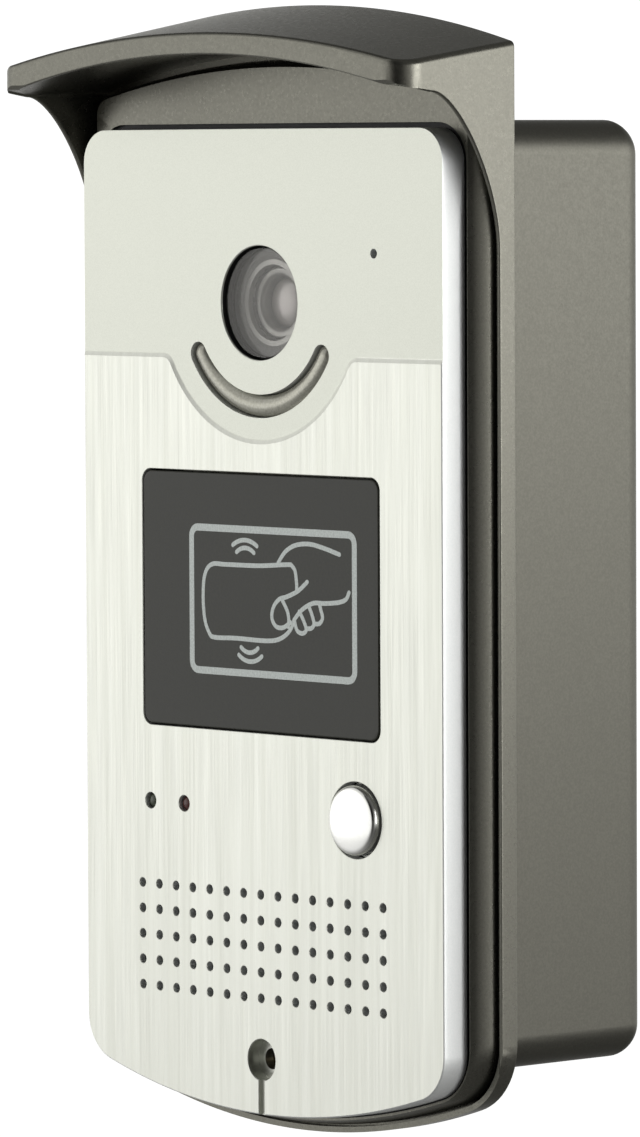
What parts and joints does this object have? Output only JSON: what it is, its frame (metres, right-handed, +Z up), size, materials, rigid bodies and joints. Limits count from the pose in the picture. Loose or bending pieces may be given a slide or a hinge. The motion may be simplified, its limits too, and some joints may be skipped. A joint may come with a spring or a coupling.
{
  "type": "door intercom panel",
  "caption": "Wall-mounted door intercom panel: aluminium front with camera, card reader window, call button and speaker grille, in a dark metal rain shroud on a back box.",
  "frame": {"origin": "centre of the back box's flat wall face", "axes": "+Y into the wall, out of the back box's wall face; +Z up, along the panel's length; +X to the right of a visitor facing the panel"},
  "size_m": [0.106, 0.0584, 0.1949],
  "materials": {
    "gunmetal_paint": "gunmetal metallic paint with a fine speckle, satin",
    "satin_aluminium": "anodised, brushed upright below, fine bead-blasted above",
    "polished_chrome": "polished dome",
    "zinc_steel": "bright zinc",
    "brass": "turned",
    "smoked_window": "smoked polycarbonate, satin gloss",
    "lens_glass": "coated glass",
    "grey_diffuser": "translucent warm grey",
    "black_plastic": "moulded, fine texture",
    "black_rubber": "matt moulded rubber",
    "circuit_board": "green solder mask",
    "copper_winding": "enamelled copper wire",
    "green_plastic": "moulded",
    "red_plastic": "moulded",
    "blue_plastic": "moulded",
    "paper_cone": "treated paper"
  },
  "bodies": {
    "panel": {"antenna_coil": "copper_winding", "back_box": "gunmetal_paint", "board_header": "black_plastic", "board_screw_1": "zinc_steel", "board_screw_2": "zinc_steel", "board_screw_3": "zinc_steel", "board_screw_4": "zinc_steel", "button_guide": "black_plastic", "button_spring": "zinc_steel", "cable_grommet": "black_rubber", "call_switch": "black_plastic", "camera_barrel": "black_plastic", "camera_board": "circuit_board", "camera_holder": "black_plastic", "camera_lens": "lens_glass", "camera_window": "smoked_window", "capacitor": "black_plastic", "card_window": "smoked_window", "casing_gasket": "black_rubber", "cover_screw_1": "zinc_steel", "cover_screw_2": "zinc_steel", "cover_screw_3": "zinc_steel", "cover_screw_4": "zinc_steel", "front_casing": "gunmetal_paint", "front_plate": "satin_aluminium", "infrared_lamp_1": "lens_glass", "infrared_lamp_2": "lens_glass", "infrared_lamp_3": "lens_glass", "infrared_lamp_4": "lens_glass", "lamp_board": "circuit_board", "light_guide": "grey_diffuser", "light_pipe_green": "green_plastic", "light_pipe_red": "red_plastic", "lock_insert": "brass", "lock_relay": "blue_plastic", "main_board": "circuit_board", "microphone": "zinc_steel", "microphone_boot": "black_rubber", "plate_screw_1": "zinc_steel", "plate_screw_2": "zinc_steel", "plate_screw_3": "zinc_steel", "plate_screw_4": "zinc_steel", "processor_chip": "black_plastic", "rain_shroud": "gunmetal_paint", "reader_board": "circuit_board", "rear_cover": "black_plastic", "shroud_screw_1": "zinc_steel", "shroud_screw_2": "zinc_steel", "shroud_screw_3": "zinc_steel", "shroud_screw_4": "zinc_steel", "speaker_cone": "paper_cone", "speaker_frame": "zinc_steel", "speaker_gasket": "black_rubber", "speaker_magnet": "zinc_steel", "status_lamp_green": "green_plastic", "status_lamp_red": "red_plastic", "terminal_block": "green_plastic"},
    "call_button": {"call_button": "polished_chrome"},
    "switch_plunger": {"switch_plunger": "red_plastic"}
  },
  "joints": [
    {"name": "call_button_press", "type": "slide", "parent": "panel", "child": "call_button", "axis": [0, 1, 0], "range_m": [0, 0.0008], "stiffness_N_per_m": 600, "springref_m": -0.002, "deforming": ["button_spring"]},
    {"name": "switch_plunger_press", "type": "slide", "parent": "panel", "child": "switch_plunger", "axis": [0, 1, 0], "range_m": [0, 0.0008], "stiffness_N_per_m": 60, "springref_m": -0.002}
  ],
  "couplings": [
    {"joint": "switch_plunger_press", "follows": "call_button_press", "ratio": 1}
  ]
}
